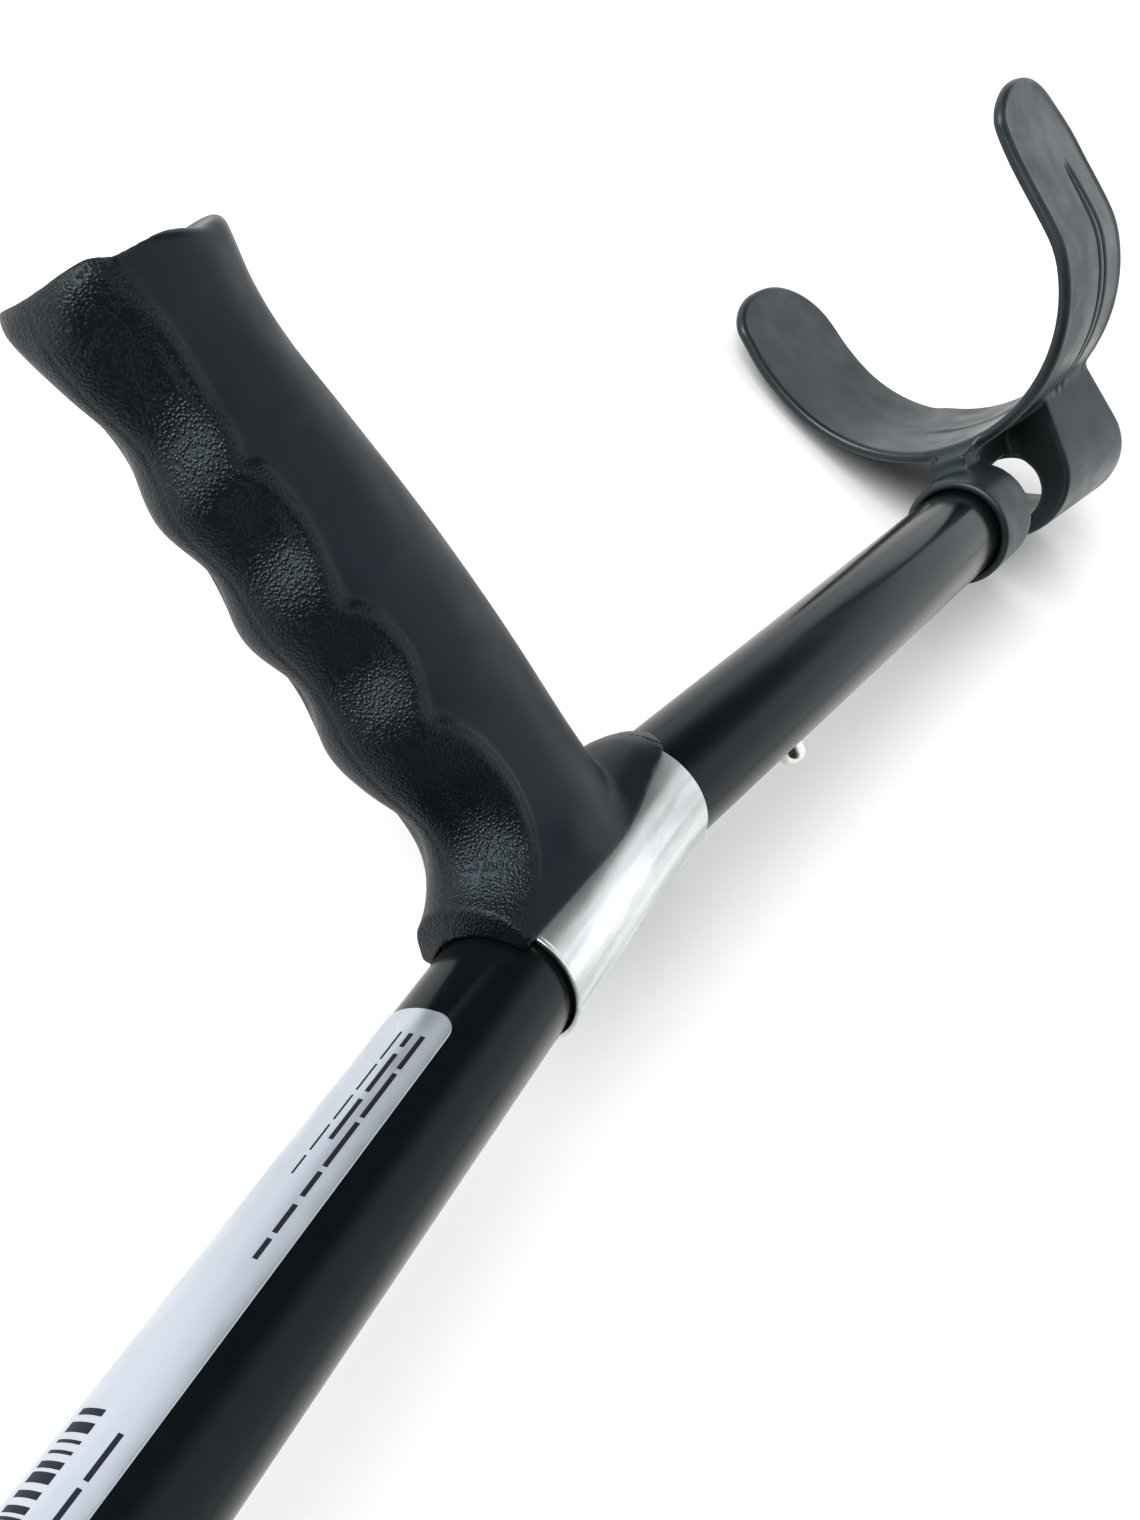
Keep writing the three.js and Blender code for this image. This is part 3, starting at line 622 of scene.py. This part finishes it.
dome = [(0, 6.7), (3.4, 6.7), (3.4, 7.4), (2.9, 7.4), (2.9, 12.4), (2.88, 12.8), (2.7, 13.4),
        (2.3, 14.0), (1.75, 14.4), (1.1, 14.65), (0.5, 14.75), (0, 14.78)]
for name, place, body, height, slot in (
        ("forearm", FOREARM, "forearm_catch", FORE_BUTTON_W, "chrome"),
        ("leg", DESIGN, "leg_catch", LEG_BUTTON_Z, "steel")):
    points, faces = turned(dome, 64, "-X")
    piece(f"{name}_button_dome", points + [0, 0, height], faces, place, body, f"{name}_button",
          slot, NICKEL, 40)

# ---- label ---------------------------------------------------------------------------------------


def wrapped(rows, radius, back):
    """A thin sheet on the tube, in rows of (z, lowest angle, highest angle), edges turned in."""
    across = 48
    points, faces = [], []
    for r in (radius, back):
        for z, a, b in rows:
            for i in range(across + 1):
                t = math.radians(a + (b - a) * i / across)
                points.append((r * math.cos(t), r * math.sin(t), z))
    n, m = len(rows), across + 1
    for k in range(n - 1):
        for i in range(across):
            q = [k * m + i, k * m + i + 1, (k + 1) * m + i + 1, (k + 1) * m + i]
            faces += [q, [n * m + v for v in reversed(q)]]
    rim = [i for i in range(m)] + [k * m + across for k in range(1, n)]
    rim += [(n - 1) * m + i for i in range(across - 1, -1, -1)]
    rim += [k * m for k in range(n - 2, 0, -1)]
    for a, b in zip(rim, rim[1:] + rim[:1]):
        faces.append([b, a, n * m + a, n * m + b])
    return points, faces


LABEL_TOP, LABEL_LENGTH, LABEL_HALF, CORNER = -66, 100, 46.5, 3.2
ROWS, CORNER_ROWS = 220, 12
rows = []
for k in range(ROWS + 1):
    j = min(k, ROWS - k)
    down = CORNER + (j - CORNER_ROWS) * 93.6 / 196
    if j < CORNER_ROWS:
        down = CORNER * (1 - math.cos(j / CORNER_ROWS * math.pi / 2))
    down = down if k <= ROWS / 2 else LABEL_LENGTH - down
    near = min(down, LABEL_LENGTH - down, CORNER)
    inset = CORNER - math.sqrt(max(CORNER**2 - (CORNER - near) ** 2, 0))
    half = LABEL_HALF - math.degrees(inset / TUBE_R)
    rows.append((LABEL_TOP - down, -half, half))
points, faces = wrapped(rows, 11.2, 11.07)
middle = np.array([np.mean([points[i] for i in f], 0) for f in faces])
turn = np.degrees(np.arctan2(middle[:, 1], middle[:, 0]))
down = LABEL_TOP - middle[:, 2]
dashes = np.zeros(len(faces))
rng = np.random.default_rng(7)
for low, high, start, end in ((29, 32, 5, 46), (20, 23, 5, 27), (11, 13, 5, 33), (29, 32, 72, 88)):
    at = start
    while at < end:
        wide = rng.uniform(3.0, 9.0)
        dashes[(turn > low) & (turn < high) & (down > at) & (down < min(at + wide, end))] = 1
        at += wide + 1.2
at = 70
while at < 97:
    wide = rng.uniform(0.5, 1.3)
    dashes[(turn > -12) & (turn < 12) & (down > at) & (down < at + wide)] = 1
    at += wide + rng.uniform(0.6, 1.3)
piece("foil_label_sheet", points, faces, DESIGN, "frame", "label", "label", FOIL, dashes=dashes)

# ---- cuff ----------------------------------------------------------------------------------------

BAND_R, BAND_BACK, BAND_T = 42.4, 15.6, 3.0
CENTRE_U = BAND_R + BAND_BACK
MID_R = BAND_R - BAND_T / 2
NEAR_REACH, FAR_REACH = 93.5, 73.0


def flare(u, y):
    """How far an arm stands outside the round back: the near arm is y > 0."""
    near = -3.6 * smooth(u, 50, 84) + 1.6 * smooth(u, 84, 97)
    return np.where(y > 0, near, 3.8 * smooth(u, 42, 84))


def arm_edges(short):
    """Lower and upper edge of an arm at a distance short of its end."""
    low = 1 - np.clip(short / 9.5, 0, 1)
    high = 1 - np.clip(short / 20, 0, 1)
    return 200 - 18.5 * np.sqrt(1 - low**2), 200 + 28 * np.sqrt(1 - high**2) ** 1.05


def band_field(u, y, w):
    reach = np.where(y > 0, NEAR_REACH + 0.8, FAR_REACH + 0.4)
    short = reach - u
    out = flare(u, y)
    slope = flare(u + 0.5, y) - flare(u - 0.5, y)
    straight = (np.abs(y) - MID_R - out) / np.sqrt(1 + slope**2)
    across = np.where(u < CENTRE_U, np.hypot(u - CENTRE_U, y) - MID_R - out, straight)
    low, high = arm_edges(np.maximum(short, 0.05))
    low2, high2 = arm_edges(np.maximum(short + 0.25, 0.05))
    low_slope, high_slope = (low2 - low) / 0.25, (high2 - high) / 0.25
    low = low - 2.0 * smooth(u, 25, 60) * (y < 0)
    edge = within((low - w) / np.sqrt(1 + low_slope**2), (w - high) / np.sqrt(1 + high_slope**2), 1)
    edge = within(edge, -short, 1.0)
    outward = np.where(across > 0, 1.0, 0.0)
    rim = 0.4 * bump(edge, -1.6, 1.1) * outward
    round_back = np.arctan2(np.abs(y), CENTRE_U - u) * MID_R
    run = np.where(u < CENTRE_U, round_back, MID_R * math.pi / 2 + u - CENTRE_U)
    half = 2.3 * np.sqrt(np.clip(1 - ((run - 44) / 36) ** 2, 0, 1))
    lens = -0.8 * bump(np.abs(w - 211.5) - half, 0, 0.8) * outward * (y > 0)
    lens = lens * smooth(run, 2, 9) * (1 - smooth(run, 74, 80))
    return within(np.abs(across) - BAND_T / 2 - rim + 0.4 * outward - lens, edge, 1.6)


def housing_field(u, y, w, inset, floor, over):
    top = 228 + (23 - u) * 0.5 + over
    f = np.clip((w - 204) / np.maximum(top - 204, 1), 0, 1)
    half = 17.5 + 4.9 * f - inset
    back = -13.3 - 2.3 * f + inset
    turn = 3 + 2 * f
    r = np.hypot(u - turn, y) + 1e-6
    bow = r - 1 / np.sqrt(((u - turn) / r / (turn - back)) ** 2 + (y / r / half) ** 2)
    side = np.abs(y) - half
    wall = np.where(u < turn, bow, side)
    front = u - (12.4 if inset else 20.2 + 2.8 * f)
    wall = within(wall, front, 2.0)
    return within(wall, np.maximum(floor - w, (w - top) / 1.118), 1.2)


def cuff_field(u, y, w):
    r = np.hypot(u, y)
    housing = housing_field(u, y, w, 0, 204, 0)
    housing = within(housing, -housing_field(u, y, w, 3.2, 207.2, 4), 1.0)
    housing = within(housing, 8.9 - np.where(w < 208, r, 99), 0.8)
    inner = np.hypot(u - CENTRE_U, y) - (BAND_R - BAND_T)
    housing = within(housing, -inner, 0.6)
    web = np.maximum(np.maximum(np.abs(u - 13.2) - 3.5, np.abs(y) - 4.5), np.abs(w - 190) - 16)
    collar = within(r - 13.2, np.abs(w - 173.25) - 9.25, 0.9)
    whole = both(both(band_field(u, y, w), housing, 2.2), both(web, collar, 2.0), 4.0)
    whole = within(whole, -within(r - 11.3, w - 178.3, 0.3), 0.4)
    whole = within(whole, -np.maximum(r - 9.8, w - 203.9), 0.4)
    screw = np.maximum(np.hypot(u, w - CUFF_SCREW_W) - CUFF_SCREW_R, y)
    return within(whole, -screw, 0.3)


points, faces = skin(cuff_field, (-18, -48, 162), (96, 48, 250), 0.5)
piece("cuff_moulding", points, faces, FOREARM, "forearm", "cuff", "cuff", CUFF_LOOK)

screw_head = [(0, 8.9), (1.2, 8.9), (1.5, 9.6), (1.5, 13.5), (2.8, 13.5), (2.9, 13.7), (2.9, 14.1),
              (2.5, 14.7), (1.8, 15.1), (1.1, 15.2), (0.8, 14.6), (0, 14.5)]
points, faces = turned(screw_head, 48, "-Y")
piece("cuff_screw_head", points + [0, 0, CUFF_SCREW_W], faces, FOREARM, "forearm",
      "cuff_screw", "steel", ZINC, 35)

# ---- lower end -----------------------------------------------------------------------------------

bush_line = [(9.75, -456), (12.6, -456), (13.2, -455), (13.2, -441), (13.0, -440.6), (13.0, -439.4),
             (13.2, -439), (13.2, -432), (12.3, -428), (11.3, -428), (11.3, -450.3), (9.75, -450.3)]
piece("guide_bush_ring", *turned(rounded(bush_line, 0.35, 3), 96), DESIGN, "frame", "guide_bush",
      "bush", BUSH, 40)

tip_line = [(0, -830), (5, -830), (5.6, -828.5), (7.4, -828.5), (8, -830), (11, -830),
            (11.6, -828.5), (13.4, -828.5), (14, -830), (17.3, -830), (18.1, -829.7), (18.5, -829),
            (18.45, -826), (18.3, -824), (17.4, -822), (16.2, -820.4), (15.4, -819), (14.5, -816),
            (13.7, -812)]
for k in range(4):
    z = -809 + 5 * k
    tip_line += [(13.55, z), (13.9, z + 0.7), (13.9, z + 2.1), (13.5, z + 2.8)]
tip_line += [(13.2, -790), (13.8, -789.2), (14, -788.6), (14, -785.4), (13.8, -784.6), (13.3, -784),
             (10.2, -784), (9.8, -784.5), (9.8, -816.3), (0, -816.3)]
piece("rubber_ferrule", *turned(tip_line, 96), DESIGN, "leg", "rubber_tip", "rubber", RUBBER, 50)

for node, material in (
    ("connector_tube", ANODISED), ("leg_top_bush", BUSH), ("leg_spring", ZINC),
    ("forearm_spring", ZINC), ("tip_washer", ZINC), ("grip_bolt", ZINC), ("grip_washer", ZINC),
    ("saddle_nut", ZINC)):
    shown = frame["nodes"][node]
    shown.data.materials.clear()
    shown.data.materials.append(material)

# ---- surroundings --------------------------------------------------------------------------------

backdrop = bpy.data.meshes.new("floor")
backdrop.from_pydata([(-0.6, -6, 0), (6, -6, 0), (6, 6, 0), (-0.6, 6, 0)], [], [(0, 1, 2, 3)])
floor = bpy.data.objects.new("floor", backdrop)
bpy.context.scene.collection.objects.link(floor)
floor.location.z = -0.0004
paper = Look("white_floor", (0.86, 0.86, 0.855), 0.7)
paper.color(paper.noise(8, 3), (0.85, 0.85, 0.845), (0.87, 0.87, 0.865))
floor.data.materials.append(paper.material)


def lamp(name, direction, distance, size, power, aim):
    data = bpy.data.lights.new(name, "AREA")
    data.shape, data.size, data.energy = "DISK", size, power
    obj = bpy.data.objects.new(name, data)
    bpy.context.scene.collection.objects.link(obj)
    direction = Vector(direction).normalized()
    obj.location = aim + direction * distance
    obj.rotation_euler = direction.to_track_quat("Z", "Y").to_euler()


def design_dir(x, y, z):
    return DESIGN.to_3x3() @ Vector((x, y, z))


aim = DESIGN @ Vector((0.03, 0.0, 0.0))
lamp("key", design_dir(0.686, 0.387, -0.616), 2.0, 1.6, 70, aim)

# white room with two dark patches: one behind the camera, one overhead on the cuff's side
world = bpy.data.worlds.new("studio")
bpy.context.scene.world = world
world.use_nodes = True
sky = world.node_tree
background = sky.nodes["Background"]
background.inputs["Color"].default_value = (0.96, 0.98, 1.0, 1)
facing = sky.nodes.new("ShaderNodeTexCoord").outputs["Generated"]
level = None
for direction, start, end, drop in (
        (design_dir(-0.26, 0.36, -0.90), 0.2, 0.85, 0.97),
        (design_dir(0.5, 0.6, 0.62), 0.8, 0.98, 0.94)):
    dot = sky.nodes.new("ShaderNodeVectorMath")
    dot.operation = "DOT_PRODUCT"
    sky.links.new(facing, dot.inputs[0])
    dot.inputs[1].default_value = direction
    fall = sky.nodes.new("ShaderNodeMapRange")
    fall.interpolation_type = "SMOOTHSTEP"
    for key, value in (("From Min", start), ("From Max", end), ("To Min", 1), ("To Max", 1 - drop)):
        fall.inputs[key].default_value = value
    sky.links.new(dot.outputs["Value"], fall.inputs["Value"])
    product = sky.nodes.new("ShaderNodeMath")
    product.operation = "MULTIPLY"
    product.inputs[0].default_value = 1.5
    if level:
        sky.links.new(level, product.inputs[0])
    sky.links.new(fall.outputs[0], product.inputs[1])
    level = product.outputs[0]
sky.links.new(level, background.inputs["Strength"])

camera = bpy.data.objects.new("camera", bpy.data.cameras.new("camera"))
bpy.context.scene.collection.objects.link(camera)
bpy.context.scene.camera = camera
camera.data.lens, camera.data.sensor_width = 40.26, 36
camera.data.clip_start, camera.data.clip_end = 0.01, 50
right, top, back = ((-0.47575, 0.76252, 0.43843), (0.81673, 0.19793, 0.54201),
                    (0.32651, 0.61594, -0.71694))
stand = frame_of(Vector(right), Vector(top), Vector(back), Vector((0.10852, 0.17461, -0.21083)))
camera.matrix_world = DESIGN @ stand

scene = bpy.context.scene
scene.view_settings.view_transform = "Standard"
scene.view_settings.exposure = -0.04
scene.view_settings.gamma = 0.85
scene.cycles.use_denoising = True
